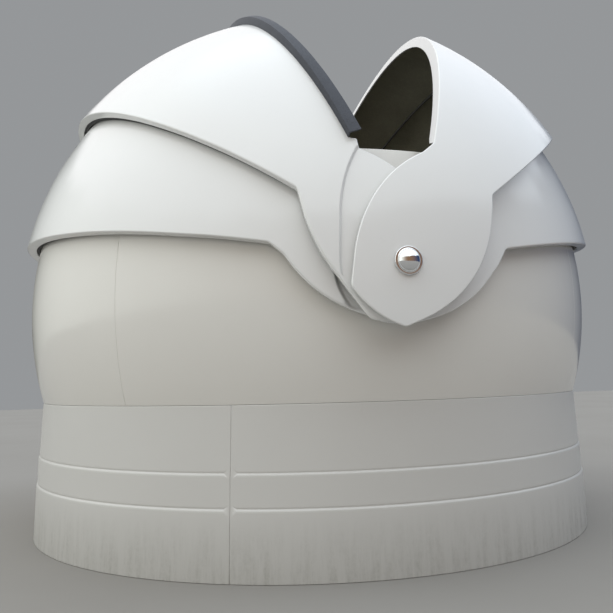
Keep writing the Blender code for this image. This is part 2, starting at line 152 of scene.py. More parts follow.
def arc(first, middle, last, steps=24):
    """Points along the circle through three points."""
    (x1, y1), (x2, y2), (x3, y3) = first, middle, last
    d = 2 * (x1 * (y2 - y3) + x2 * (y3 - y1) + x3 * (y1 - y2))
    s1, s2, s3 = x1 * x1 + y1 * y1, x2 * x2 + y2 * y2, x3 * x3 + y3 * y3
    cx = (s1 * (y2 - y3) + s2 * (y3 - y1) + s3 * (y1 - y2)) / d
    cy = (s1 * (x3 - x2) + s2 * (x1 - x3) + s3 * (x2 - x1)) / d
    radius = hypot(x1 - cx, y1 - cy)
    start = atan2(y1 - cy, x1 - cx)
    turn = (atan2(y3 - cy, x3 - cx) - start) % tau
    if (atan2(y2 - cy, x2 - cx) - start) % tau > turn:
        turn -= tau
    angles = [start + turn * i / steps for i in range(steps + 1)]
    return [(cx + radius * cos(a), cy + radius * sin(a)) for a in angles]


def right_outer_near():
    """The ear from its top corner down the near side, round the foot and up to the rim."""
    near_side = arc((0.086, 0.340), (-0.073, 0.211), (-0.155, 0.001))
    foot = arc((-0.164, -0.069), (-0.108, -0.131), (-0.008, -0.183))
    far_side = arc((0.051, -0.159), (0.223, -0.023), (0.291, 0.135)) + [(0.303, 0.181)]
    return (on_edge(RIGHT_CLOSING, NO_LIFT, 0.52, 0.396) + near_side + foot + far_side
            + on_edge(OUTER_RIM, NO_LIFT, 0.377, 0.50))


def left_outer_near():
    """As the right one, with a small tab at its top corner."""
    tab = (0.112, 0.382)
    near_side = arc((0.110, 0.352), (-0.052, 0.238), (-0.158, 0.020))
    foot = [(-0.142, -0.055), (-0.105, -0.105), (-0.055, -0.145),
            (0.0, -0.165), (0.044, -0.168), (0.094, -0.163)]
    far_side = arc((0.108, -0.155), (0.166, -0.081), (0.221, -0.006))
    far_side += arc((0.237, 0.020), (0.264, 0.077), (0.284, 0.136))
    return (on_edge(LEFT_CLOSING, NO_LIFT, 0.52, 0.404) + [tab] + near_side + foot + far_side
            + on_edge(OUTER_RIM, OUTER_LIFT, 0.372, 0.50))


def inner_near(far_side, lift):
    near_side = arc((0.150, 0.330), (-0.030, 0.228), (-0.155, 0.040))
    foot = [(-0.160, -0.030), (-0.135, -0.095), (-0.070, -0.148), (0.0, -0.172), (0.052, -0.166)]
    return (on_edge(INNER_TOP, NO_LIFT, 0.52, 0.395) + near_side + foot + far_side
            + on_edge(INNER_RIM, lift, 0.381, 0.52))


def left_inner_near():
    return inner_near(arc((0.100, -0.145), (0.230, -0.084), (0.334, 0.031)), INNER_LIFT)


def right_inner_near():
    far_side = arc((0.103, -0.153), (0.240, -0.087), (0.312, -0.017))
    return inner_near(far_side + [(0.333, 0.003), (0.350, 0.026)], NO_LIFT)


def left_outer_step():
    """Where the left outer ear steps inward, from its upper end down."""
    upper = arc((0.116, 0.348), (0.167, 0.228), (0.181, 0.150))
    return [(0.085, 0.372)] + upper + [
        (0.186, 0.060), (0.188, 0.003), (0.184, -0.053), (0.194, -0.080), (0.216, -0.112), (0.245, -0.150)]


def left_inner_step():
    """Where the left inner ear steps inward, on a circle about the axle."""
    circle = [polar(angle, 0.192) for angle in range(72, 150, 6)]
    return [(0.128, 0.380), (0.150, 0.300), (0.170, 0.190)] + circle + [(0.078, -0.240)]


# Where a left ear's edge is rounded more softly: its far side
SOFT_OUTER = [(0.060, -0.300), (0.060, -0.120), (0.250, 0.190), (0.420, 0.190), (0.420, -0.300)]
SOFT_INNER = [(0.060, -0.300), (0.060, -0.120), (0.300, 0.050), (0.460, 0.050), (0.460, -0.300)]

# Where a right ear has a plain edge, with no flange inside it
PLAIN_SIDE = [(-0.300, -0.250), (0.110, -0.250), (0.190, -0.070), (0.195, 0.100)]
PLAIN_OUTER = PLAIN_SIDE + [(0.170, 0.300), (0.150, 0.384), (0.112, 0.400), (-0.300, 0.400)]
PLAIN_INNER = PLAIN_SIDE + [(0.225, 0.220), (0.245, 0.430), (-0.300, 0.430)]


# Surfaces, each with a flat chart: a point on it is (s, w), and its radius is given apart

class Ball:
    """Angles along and across the great circle from one direction over another."""

    def __init__(self, start, over, radius):
        self.axes = np.array([start, over, np.cross(start, over)], float)
        self.radius = radius
        self.unit = np.array([radius, radius])

    def point(self, sw, radius):
        s, w = sw[:, 0], sw[:, 1]
        around = np.column_stack([np.cos(w) * np.cos(s), np.cos(w) * np.sin(s), np.sin(w)])
        return PIVOT + (around @ self.axes) * np.asarray(radius).reshape(-1, 1)

    def scale(self, sw):
        """Metres to a unit of the chart, at each point."""
        return np.column_stack([self.radius * np.cos(sw[:, 1]), np.full(len(sw), self.radius)])

    def chart(self, directions):
        """The points under directions from the centre. The chart is cut well behind its start."""
        d = np.asarray(directions) @ self.axes.T
        s = np.arctan2(d[:, 1], d[:, 0])
        return np.column_stack([np.where(s < -2.2, s + tau, s), np.arcsin(np.clip(d[:, 2], -1, 1))])

    def front_view(self, sw):
        return (self.point(sw, self.radius) - PIVOT)[:, [0, 2]]


class Drum:
    """Azimuth and height on an upright cylinder."""

    def __init__(self, radius):
        self.radius = radius
        self.unit = np.array([radius, 1.0])

    def point(self, sw, radius):
        return np.column_stack([radius * np.sin(sw[:, 0]), -radius * np.cos(sw[:, 0]), sw[:, 1]])

    def scale(self, sw):
        return np.tile(self.unit, (len(sw), 1))


def unit(v):
    return v / np.maximum(np.linalg.norm(v, axis=-1, keepdims=True), 1e-12)


def tangents(surface, sw, radius_at, eps):
    """The directions along and across the chart at each point, from small steps either way."""
    sides = []
    for step in (np.array([eps / surface.unit[0], 0.0]), np.array([0.0, eps / surface.unit[1]])):
        ahead, behind = sw + step, sw - step
        sides.append(surface.point(ahead, radius_at(ahead)) - surface.point(behind, radius_at(behind)))
    return unit(sides[0]), unit(sides[1])


def normals(surface, sw, radius_at):
    along, across = tangents(surface, sw, radius_at, NORMAL_STEP)
    return unit(np.cross(along, across))


# Filling an outline

def cross(a, b):
    return a[..., 0] * b[..., 1] - a[..., 1] * b[..., 0]


def inside(points, loop):
    x, y = points[:, :1], points[:, 1:]
    x1, y1 = loop[:, 0], loop[:, 1]
    x2, y2 = np.roll(x1, -1), np.roll(y1, -1)
    rise = np.where(y2 == y1, 1e-12, y2 - y1)
    crossed = ((y1 > y) != (y2 > y)) & (x < (x2 - x1) * (y - y1) / rise + x1)
    return crossed.sum(1) % 2 == 1


def nearest_side(points, line):
    """Distances to an open line, and 1 or -1 for the side of it that each point is on."""
    best, sign = np.full(len(points), 1e9), np.ones(len(points))
    for p, q in zip(line, line[1:]):
        d = q - p
        t = np.clip(((points - p) @ d) / max(d @ d, 1e-18), 0, 1)
        gap = np.linalg.norm(points - p - t[:, None] * d, axis=1)
        closer = gap < best - 1e-12
        best = np.where(closer, gap, best)
        sign = np.where(closer, np.sign(cross(d, points - p)), sign)
    return best, sign


def distance_to(points, loop):
    """Distances to a closed line."""
    return nearest_side(points, np.vstack([loop, loop[:1]]))[0]


def inner_grid(ring, step):
    """A staggered grid of points inside a ring, clear of its edge."""
    low, high = ring.min(0), ring.max(0)
    nx, ny = np.ceil((high - low) / step).astype(int)
    gx = low[0] + (high[0] - low[0]) * (np.arange(nx) + 0.5) / nx
    gy = low[1] + (high[1] - low[1]) * (np.arange(ny) + 0.5) / ny
    grid = np.array([(x, y + (0.25 if i % 2 else -0.25) * step) for i, x in enumerate(gx) for y in gy])
    grid = grid[inside(grid, ring)]
    return grid[distance_to(grid, ring) > 0.55 * step]


def triangulate(coords, edges, border):
    """Triangles within the border, which is the first points: places, triangles, and new numbers by old."""
    made, _, faces, origins, _, _ = delaunay_2d_cdt(
        [Vector(p) for p in coords], edges, [list(range(border))], 1, 1e-7)
    flat = np.array([tuple(v) for v in made])
    triangles = np.array([f[:3] for f in faces])
    a, b, c = (flat[triangles[:, k]] for k in range(3))
    area = cross(b - a, c - a)
    triangles[area < 0] = triangles[area < 0][:, ::-1]
    place = {source: index for index, sources in enumerate(origins) for source in sources}
    return flat, triangles[np.abs(area) > 1e-10], place


def fill(ring, creases, holes):
    """Triangles inside a ring, in metres on the flat chart.

    Creases become edges of them, and round holes are left open, with finer rings about each."""
    grid = inner_grid(ring, FILL_STEP)
    points, edges, circles = [ring], [], []
    count = len(ring)
    for crease in creases:
        kept = inside(crease, ring) & (distance_to(crease, ring) > CREASE_MARGIN)
        index = np.full(len(crease), -1)
        index[kept] = count + np.arange(kept.sum())
        edges += [(int(i), int(j)) for i, j in zip(index, index[1:]) if i >= 0 and j >= 0]
        if kept.any():
            near = np.abs(grid[:, None] - crease[None, kept]).max(2).min(1)
            grid = grid[near > 0.4 * FILL_STEP]
            points.append(crease[kept])
            count += int(kept.sum())
    turn = np.linspace(0, tau, HOLE_POINTS, endpoint=False)
    circle = np.column_stack([np.cos(turn), np.sin(turn)])
    for centre, radius in holes:
        circles.append(np.arange(count, count + HOLE_POINTS))
        edges += [(count + i, count + (i + 1) % HOLE_POINTS) for i in range(HOLE_POINTS)]
        points += [centre + radius * ring_size * circle for ring_size in HOLE_RINGS]
        count += HOLE_POINTS * len(HOLE_RINGS)
        grid = grid[np.linalg.norm(grid - centre, axis=1) > radius * HOLE_RINGS[-1] + 0.3 * FILL_STEP]
    flat, triangles, place = triangulate(np.vstack(points + [grid]), edges, len(ring))
    for centre, radius in holes:
        triangles = triangles[np.linalg.norm(flat[triangles].mean(1) - centre, axis=1) > radius]
    return flat, triangles, place, circles


# A shell with a rolled rim

OUTSIDE_SLOT, INSIDE_SLOT, PAINTED_SHADE_SLOT = 0, 1, 2
OUTSIDE_RINGS = 9


def rim_profile(edge, height):
    """Steps round the rim for each point of the outline: how far in, how deep, and the way it faces.

    edge is the outer rounding, height the depth of the flange, and the flange is as thick as the skin.
    The first steps, as many as OUTSIDE_RINGS, go over the edge and down to the flange's lip."""
    spare = height - SKIN
    lip = np.minimum(LIP_ROUND, spare / 2)
    fillet = np.minimum(FILLET, (spare - lip) / 2)
    cut, one = lip * 0.3, np.ones_like(edge)
    steps = [(edge * (1 - sin(t)), edge * (1 - cos(t)), sin(t), cos(t))
             for t in np.radians([0, 22.5, 45, 67.5, 90])]
    steps += [(0 * one, height - lip, 1.0, 0.0), (cut, height - cut, 0.7, -0.7), (lip, height, 0.0, -1.0),
              (SKIN - lip, height, 0.0, -1.0), (SKIN - cut, height - cut, -0.7, -0.7),
              (SKIN * one, height - lip, -1.0, 0.0)]
    steps += [(SKIN + FILLET * (1 - cos(t)) * one, SKIN + fillet * (1 - sin(t)),
               -cos(t), -sin(t)) for t in np.radians([0, 45, 90])]
    return steps


def way_in(loop, scale):
    """At each point of an outline, the direction inward, and how much further a corner reaches."""
    before = unit((loop - np.roll(loop, 1, axis=0)) * scale)
    after = unit((np.roll(loop, -1, axis=0) - loop) * scale)
    left_before, left_after = (np.column_stack([-d[:, 1], d[:, 0]]) for d in (before, after))
    inward = unit(left_before + left_after)
    return inward, 1 / np.maximum((inward * left_before).sum(1, keepdims=True), 0.4)


def sweep_rim(surface, loop, radius_at, lip, edge):
    """The rim's rings round an outline: their points on the chart, in space, and their normals."""
    scale = surface.scale(loop)
    inward, reach = way_in(loop, scale)
    along, across = tangents(surface, loop, lambda sw: surface.radius, TANGENT_STEP)
    outward = -(inward[:, :1] * along + inward[:, 1:] * across)
    height = np.full(len(loop), np.maximum(radius_at(loop) - lip, PLAIN_DEPTH))
    rings, verts, facing = [], [], []
    for inset, depth, out_part, up_part in rim_profile(edge, height):
        sw = loop + inward * reach * inset[:, None] / scale
        rings.append(sw)
        verts.append(surface.point(sw, radius_at(sw) - depth))
        facing.append(unit(outward * out_part + normals(surface, sw, radius_at) * up_part))
    return rings, verts, facing


def make_shell(name, surface, loop, radius_at, lip, edge, body, mats, creases=(), holes=(), shaded_rim=None):
    """A closed shell: the rim swept round the outline, and both faces filled.

    Along the outline where the last mask is true, the rim takes the third material, a near-black painted
    shade."""
    n = len(loop)
    shaded_rim = np.zeros(n, bool) if shaded_rim is None else shaded_rim
    rings, verts, facing = sweep_rim(surface, loop, radius_at, lip, edge)
    faces, slots = [], []
    for k in range(len(rings) - 1):
        for i in range(n):
            j = (i + 1) % n
            faces.append((k * n + i, (k + 1) * n + i, (k + 1) * n + j, k * n + j))
            # painted shade: a near-black material on the rim's outer faces along the marked stretch
            outer_slot = PAINTED_SHADE_SLOT if shaded_rim[i] and shaded_rim[j] else OUTSIDE_SLOT
            slots.append(outer_slot if k < OUTSIDE_RINGS else INSIDE_SLOT)
    total = len(rings) * n
    flat_creases = [np.asarray(crease) * surface.unit for crease in creases]
    flat_holes = [(np.asarray(centre) * surface.unit, radius) for centre, radius in holes]
    hole_edges = []
    for ring, depth, side, slot in ((0, 0.0, 1, OUTSIDE_SLOT), (len(rings) - 1, SKIN, -1, INSIDE_SLOT)):
        flat, triangles, place, circles = fill(rings[ring] * surface.unit, flat_creases, flat_holes)
        number = np.full(len(flat), -1)
        for i in range(n):
            number[place[i]] = ring * n + i
        used = np.unique(triangles)
        new = used[number[used] < 0]
        number[new] = total + np.arange(len(new))
        total += len(new)
        sw = flat[new] / surface.unit
        verts.append(surface.point(sw, radius_at(sw) - depth))
        facing.append(normals(surface, sw, radius_at) * side)
        faces += [tuple(int(v) for v in corners[::side]) for corners in number[triangles]]
        slots += [slot] * len(triangles)
        hole_edges.append([number[[place[int(i)] for i in circle]] for circle in circles])
    verts, facing = np.vstack(verts), np.vstack(facing)
    corner_normals = [tuple(facing[v]) for face in faces for v in face]
    for outer, inner in zip(*hole_edges):
        centre = verts[outer].mean(0)
        for i in range(len(outer)):
            j = (i + 1) % len(outer)
            faces.append((int(outer[i]), int(outer[j]), int(inner[j]), int(inner[i])))
            slots.append(INSIDE_SLOT)
            corner_normals += [tuple(unit((centre - verts[v]) * (1, 0, 1))) for v in faces[-1]]
    mesh = bpy.data.meshes.new(name)
    mesh.from_pydata([tuple(v) for v in verts], [], faces)
    mesh.polygons.foreach_set("use_smooth", [True] * len(faces))
    for mat in mats:
        mesh.materials.append(mat)
    mesh.polygons.foreach_set("material_index", slots)
    mesh.normals_split_custom_set(corner_normals)
    return riding(mesh, body)


def riding(mesh, body):
    """An object of a mesh, on a body."""
    ob = bpy.data.objects.new(mesh.name, mesh)
    bpy.context.scene.collection.objects.link(ob)
    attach(ob, body)
    return ob


def stands_for(piece, node_name):
    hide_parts(node_name)


# Outlines on the ball

def dense(points, step=FINE_STEP):
    points = np.asarray(points, float)
    out = [points[:1]]
    for p, q in zip(points, points[1:]):
        count = max(1, int(ceil(np.linalg.norm(q - p) / step)))
        out.append(p + (q - p) * (np.arange(1, count + 1) / count)[:, None])
    return np.vstack(out)


def from_front(points, radius, half):
    """Directions of the points where a view from the front meets the ball, on its front or back half."""
    uv = np.asarray(points) / radius
    return np.column_stack([uv[:, 0], half * np.sqrt(np.maximum(1 - (uv ** 2).sum(1), 0)), uv[:, 1]])


def over_the_top(side, angle, lift, start, radius, count=1200):
    """Directions along an edge, from near the front pole to near the back one."""
    first = asin(start / radius)
    phi = np.linspace(first, pi - first, count)
    t = side * np.radians(lifted(angle, lift, np.sin(phi) * radius))
    return np.column_stack([np.sin(phi) * np.sin(t), -np.cos(phi), np.sin(phi) * np.cos(t)])


def even(loop, radius):
    """A closed line of directions with its points evenly spaced."""
    closed = np.vstack([loop, loop[:1]])
    along = np.concatenate([[0], np.cumsum(np.linalg.norm(np.diff(closed, axis=0), axis=1))]) * radius
    wanted = np.arange(0, along[-1], FINE_STEP)
    return unit(np.column_stack([np.interp(wanted, along, closed[:, k]) for k in range(3)]))


def soften(loop, reach):
    """An evenly spaced closed line with its corners rounded."""
    count = max(1, int(round(reach / FINE_STEP)))
    kernel = np.ones(2 * count + 1) / (2 * count + 1)
    for _ in range(2):
        padded = np.vstack([loop[-count:], loop, loop[:count]])
        loop = np.column_stack([np.convolve(padded[:, k], kernel, "valid") for k in range(3)])
    return unit(loop)


def thin(loop, radius):
    """Fewer points on a closed line: the straighter it runs, the further apart."""
    ahead = unit(np.roll(loop, -1, axis=0) - loop)
    kept = [0]
    length, turned = 0.0, 0.0
    for i in range(1, len(loop)):
        length += np.linalg.norm(loop[i] - loop[i - 1]) * radius
        turned += acos(min(1.0, float(ahead[i] @ ahead[i - 1])))
        if length > LOOP_STEP or (turned > LOOP_TURN and length > FINE_STEP):
            kept.append(i)
            length = turned = 0.0
    return loop[kept]


def shutter_loop(near, side, top_angle, rim_angle, lift, radius):
    """The whole outline of a shutter: the front ear, back over the rim, the back ear, and the top edge."""
    path = dense([(side * x, y) for x, y in near])
    rim = over_the_top(side, rim_angle, lift, hypot(*near[-1]), radius)
    top = over_the_top(side, top_angle, NO_LIFT, hypot(*near[0]), radius)
    front, back = (from_front(path, radius, half) for half in (FRONT, BACK))
    loop = np.vstack([front, rim[1:-1], back[::-1], top[::-1][1:-1]])
    gaps = np.linalg.norm(np.diff(loop, axis=0), axis=1)
    loop = loop[np.concatenate([[True], gaps > 1e-7])]
    return thin(soften(even(loop, radius), CORNER_SOFTNESS), radius)


def counter_clockwise(loop):
    area = cross(loop, np.roll(loop, -1, axis=0)).sum()
    return loop if area > 0 else loop[::-1]


def smoothstep(t):
    t = np.clip(t, 0, 1)
    return t * t * (3 - 2 * t)


class Step:
    """A soft step inward across a line seen from the front; its lower side is nearer the axle."""

    REACH = 0.46
    CREASES = (-1.3, -0.9, -0.55, -0.2, 0.2, 0.55, 0.9, 1.3)

    def __init__(self, side, outline, depth, width):
        self.line = np.array([(side * x, y) for x, y in outline()])
        self.side, self.depth, self.width = side, depth, width

    def drop(self, uv):
        """How far in the surface is at each point."""
        near = np.hypot(uv[:, 0], uv[:, 1]) < self.REACH
        fall = np.zeros(len(uv))
        if near.any():
            away, sign = nearest_side(uv[near], self.line)
            fall[near] = self.depth * smoothstep(0.5 - self.side * away * sign / (2 * self.width))
        return fall

    def creases(self, surface):
        """Lines on the chart either side of the step, on both ears."""
        line = dense(self.line, 0.009)
        ahead = unit(np.gradient(line, axis=0))
        across = np.column_stack([-ahead[:, 1], ahead[:, 0]])
        return [surface.chart(from_front(line + across * k * self.width, surface.radius, half))
                for k in self.CREASES for half in (FRONT, BACK)]


# Materials

def new_material(name):
    """A material, its tree and shader, and the place on the object as its textures take it."""
    mat = bpy.data.materials.new(name)
    mat.use_nodes = True
    tree = mat.node_tree
    place = node(tree, "ShaderNodeTexCoord").outputs["Object"]
    return mat, tree, tree.nodes["Principled BSDF"], place


def plug(tree, socket, value):
    if isinstance(value, bpy.types.NodeSocket):
        tree.links.new(value, socket)
    else:
        socket.default_value = value


def node(tree, kind, inputs=None, **settings):
    made = tree.nodes.new(kind)
    for key, value in settings.items():
        setattr(made, key, value)
    for key, value in (inputs or {}).items():
        plug(tree, made.inputs[key], value)
    return made


def maths(tree, operation, *values):
    return node(tree, "ShaderNodeMath", dict(enumerate(values)), operation=operation).outputs[0]


def noise(tree, vector, scale, detail=2.0, roughness=0.5):
    return node(tree, "ShaderNodeTexNoise",
                {"Vector": vector, "Scale": scale, "Detail": detail, "Roughness": roughness}).outputs["Fac"]


def spread(tree, value, low, high, out_low, out_high):
    return node(tree, "ShaderNodeMapRange", {
        "Value": value, "From Min": low, "From Max": high, "To Min": out_low, "To Max": out_high,
    }).outputs["Result"]


def blend(tree, factor, first, second):
    mix = node(tree, "ShaderNodeMix", data_type="RGBA")
    for index, value in ((0, factor), (6, first), (7, second)):
        plug(tree, mix.inputs[index], (*value, 1.0) if isinstance(value, tuple) else value)
    return mix.outputs[2]


def times(colour, factor):
    return tuple(c * factor for c in colour)


def finish(tree, shader, tint, rough, *heights):
    """Colour, roughness, and heights as (value, strength, distance), each on top of the one before."""
    tree.links.new(tint, shader.inputs["Base Color"])
    tree.links.new(rough, shader.inputs["Roughness"])
    normal = None
    for value, strength, distance in heights:
        made = node(tree, "ShaderNodeBump", {"Height": value, "Strength": strength, "Distance": distance})
        if normal:
            tree.links.new(normal, made.inputs["Normal"])
        normal = made.outputs["Normal"]
    tree.links.new(normal, shader.inputs["Normal"])


def stretched(tree, vector, scale):
    return node(tree, "ShaderNodeMapping", {"Vector": vector, "Scale": scale}).outputs["Vector"]


def darker_low_with_dirt_streaks(tree, place, tint, rough, amount):
    """An even darkening towards the bottom of the wall, and dusty upright streaks of rain-splashed dirt low
    on it.
    """
    height = node(tree, "ShaderNodeSeparateXYZ", {"Vector": place}).outputs["Z"]
    # darker towards the bottom: an even blend to grey over the lowest 0.20 m
    tint = blend(tree, spread(tree, height, 0.20, 0.02, 0.0, 0.45), tint, (0.36, 0.35, 0.32))
    low = spread(tree, height, 0.17, 0.0, 0.0, 1.0)
    streak = noise(tree, stretched(tree, place, (40.0, 40.0, 5.0)), 1.0, 6.0, 0.75)
    dust = noise(tree, place, 70.0, 6.0, 0.8)
    dirt = maths(tree, "MULTIPLY", low, spread(tree, streak, 0.42, 0.72, 0.0, 1.0))
    dirt = maths(tree, "MULTIPLY", dirt, spread(tree, dust, 0.35, 0.65, 0.2, 1.0))
    dirt = maths(tree, "MULTIPLY", dirt, amount)
    tint = blend(tree, dirt, tint, (0.20, 0.19, 0.16))
    return tint, maths(tree, "ADD", rough, spread(tree, dirt, 0.0, 0.6, 0.0, 0.4))


def gelcoat(name, colour, shade, grime=0.0, roughness=0.13, coat=0.25):
    """Moulded gelcoat: faint clouding and specks, and a soft waviness from the mould."""
    mat, tree, shader, place = new_material(name)
    cloud = noise(tree, place, 1.7, 4.0, 0.55)
    tint = blend(tree, spread(tree, cloud, 0.35, 0.7, 0.0, 0.55), colour, shade)
    speck = noise(tree, place, 60.0, 5.0, 0.7)
    tint = blend(tree, spread(tree, speck, 0.62, 0.8, 0.0, 0.14), tint, times(shade, 0.72))
    rough = spread(tree, noise(tree, place, 6.0, 6.0, 0.65), 0.3, 0.75, roughness, roughness + 0.10)
    # a nonzero grime also turns on the even darkening towards the bottom
    if grime:
        tint, rough = darker_low_with_dirt_streaks(tree, place, tint, rough, grime)
    shader.inputs["IOR"].default_value = 1.52
    shader.inputs["Coat Weight"].default_value = coat
    shader.inputs["Coat Roughness"].default_value = 0.04
    waves, orange_peel = noise(tree, place, 5.0), noise(tree, place, 420.0)
    finish(tree, shader, tint, rough, (waves, 0.10, 0.004), (orange_peel, 0.05, 0.0004))
    return mat


def flowcoat(name, colour):
    """The rough, dark inside of the moulding, with the chopped strands of the glass mat showing; the
    darkness of the colours it is given here is painted shade.
    """
    mat, tree, shader, place = new_material(name)
    strands = node(tree, "ShaderNodeTexVoronoi",
                   {"Vector": stretched(tree, place, (46.0, 70.0, 46.0)), "Scale": 1.0},
                   feature="DISTANCE_TO_EDGE").outputs["Distance"]
    patches = noise(tree, place, 5.0, 6.0, 0.7)
    tint = blend(tree, spread(tree, patches, 0.3, 0.7, 0.0, 1.0), colour, times(colour, 1.3))
    tint = blend(tree, spread(tree, strands, 0.0, 0.12, 0.35, 0.0), tint, times(colour, 1.6))
    rough = spread(tree, noise(tree, place, 30.0, 4.0), 0.3, 0.7, 0.5, 0.75)
    grit = noise(tree, place, 160.0, 4.0)
    finish(tree, shader, tint, rough, (strands, 0.4, 0.0015), (grit, 0.3, 0.0006))
    return mat


def rubber(name, colour, lighter, grain):
    """Matt rubber with a pale bloom and dark pores."""
    mat, tree, shader, place = new_material(name)
    bloom = noise(tree, place, 14.0, 8.0, 0.7)
    tint = blend(tree, spread(tree, bloom, 0.35, 0.75, 0.0, 1.0), colour, lighter)
    pores = noise(tree, place, grain, 3.0, 0.7)
    tint = blend(tree, spread(tree, pores, 0.5, 0.75, 0.0, 0.6), tint, times(colour, 0.45))
    rough = spread(tree, pores, 0.3, 0.7, 0.47, 0.70)
    finish(tree, shader, tint, rough, (pores, 0.35, 0.0008), (noise(tree, place, 30.0, 3.0), 0.2, 0.001))
    return mat


def metal(name, colour, roughness, wear):
    """Metal with smudges and fine scratches."""
    mat, tree, shader, place = new_material(name)
    smudge = noise(tree, place, 45.0, 6.0, 0.65)
    tint = blend(tree, spread(tree, smudge, 0.35, 0.7, 0.0, 1.0), colour, times(colour, 1 - wear))
    scratch = noise(tree, place, 800.0, 5.0, 0.7)
    rough = spread(tree, scratch, 0.3, 0.75, roughness, roughness + wear)
    shader.inputs["Metallic"].default_value = 1.0
    finish(tree, shader, tint, rough, (scratch, 0.03, 0.0003))
    return mat


WHITE = gelcoat("white_gelcoat", (0.86, 0.865, 0.86), (0.82, 0.825, 0.82))
# The white gelcoat made darker and warmer for the fixed body: painted shade and painted warm light bounced
# from the floor.
BODY_PAINTED_WARM_SHADE_GELCOAT = gelcoat("body_gelcoat_painted_warm_shade", (0.80, 0.785, 0.745), (0.76, 0.745, 0.705))
WALL = gelcoat("wall_gelcoat", (0.62, 0.61, 0.585), (0.585, 0.575, 0.55),
               grime=0.60, roughness=0.34, coat=0.0)
# A brownish flowcoat, its own colour, darkened as painted shade for the unlit inside of the dome.
INSIDE_FLOWCOAT_PAINTED_SHADE = flowcoat("inside_flowcoat_painted_shade", (0.27, 0.255, 0.195))
# A near-black flowcoat on the inner shutters' top edge: painted shade.
EDGE_PAINTED_SHADE = flowcoat("top_edge_painted_shade", (0.040, 0.038, 0.034))
BLACK_RUBBER = rubber("black_rubber", (0.012, 0.012, 0.013), (0.03, 0.03, 0.032), 240.0)
SLATE_RUBBER = rubber("slate_rubber", (0.040, 0.045, 0.060), (0.055, 0.061, 0.079), 330.0)
CHROME = metal("chrome", (0.86, 0.87, 0.88), 0.035, 0.05)
ZINC = metal("zinc", (0.52, 0.52, 0.50), 0.30, 0.15)
STEEL = metal("steel", (0.45, 0.45, 0.45), 0.25, 0.15)
BRONZE = metal("bronze", (0.50, 0.34, 0.16), 0.32, 0.2)


# Wall ring

# Each ledge as its height and how far the wall stands out above and below it
LEDGES = ((LOWER_LEDGE, 0.001, 0.004), (UPPER_LEDGE, 0.0, 0.003))
FOOT_FLARE = 0.001
LEDGE_CREASES = (-0.006, -0.003, -0.001, 0.0005, 0.0018, 0.003,
                 0.0042, 0.005, 0.0058, 0.0068, 0.0085, 0.012)


def wall_radius(sw):
    """The drum's radius by height: each ledge steps out below a fine groove."""
    heights, out = [0.0], [FOOT_FLARE]
    for ledge, above, below in LEDGES:
        heights += [ledge + rise for rise in (-0.0030, 0.0005, 0.0025, 0.0050, 0.0065, 0.0085)]
        out += [below, below - 0.0003, below - 0.0014, above - 0.0009, above - 0.0011, above]
    return WALL_RADIUS + np.interp(sw[:, 1], heights + [WALL_HEIGHT], out + [0.0])


def make_wall():
    drum = Drum(WALL_RADIUS)
    half = radians(45) - GAP / 2 / WALL_RADIUS
    for number in range(4):
        middle = radians(WALL_SEAM_AZIMUTH + 45 + 90 * number)
        across = np.linspace(middle - half, middle + half, 61)
        up = np.linspace(0, WALL_HEIGHT, 15)[1:-1]
        loop = np.array([(a, 0.0) for a in across] + [(across[-1], z) for z in up]
                        + [(a, WALL_HEIGHT) for a in across[::-1]] + [(across[0], z) for z in up[::-1]])
        creases = [[(a, ledge + rise) for a in np.linspace(across[0], across[-1], 91)[1:-1]]
                   for ledge in (UPPER_LEDGE, LOWER_LEDGE) for rise in LEDGE_CREASES]
        edge = np.where(np.abs(loop[:, 1] - WALL_HEIGHT) < 1e-6, PANEL_TOP_EDGE, PANEL_EDGE)
        name = "wall_panel_%d" % (number + 1)
        shell = make_shell(name + "_shell", drum, loop, wall_radius, WALL_RADIUS - WALL_FLANGE, edge,
                           "dome_base", (WALL, INSIDE_FLOWCOAT_PAINTED_SHADE), creases)
        stands_for(shell, name)


# Fixed body

def ear_top(ball, half):
    """The top edge of a fixed ear on the ball's chart, from its right end to the middle."""
    edge = [polar(SILL, 0.50)] + arc((0.400, 0.165), (0.352, 0.245), (0.325, 0.320), 14)
    edge += arc((0.305, 0.358), (0.286, 0.376), (0.255, BODY_EAR_TOP), 8) + [(0.0, BODY_EAR_TOP)]
    return ball.chart(from_front(dense(edge, 0.012) * (-half, 1), BODY_RADIUS, half))


def body_outline(ball, half, foot, quarter):
    """A quarter's outline: up its right seam, along its top and down its left seam.

    half is FRONT or BACK where it has an ear, and None where its top is the sill alone."""
    slope = 1 / tan(radians(SILL))
    if half is None:
        sill = [(a, atan(slope * cos(a))) for a in np.linspace(quarter, 0, 30)]
        corner, top = sill[0][1], sill[1:]
    else:
        ear = [tuple(p) for p in ear_top(ball, half)]
        sill = [(a, atan(slope * sin(a))) for a in np.linspace(quarter, ear[0][0], 14)[:-1]]
        corner, top = sill[0][1], sill[1:] + ear
    bottom = [(a, foot) for a in np.linspace(-quarter, quarter, 61)]
    right = [(quarter, h) for h in np.linspace(foot, corner, 24)[1:]] + top
    left = [(-a, h) for a, h in right[::-1][1:]]
    return np.array(bottom + right + left[:-1])


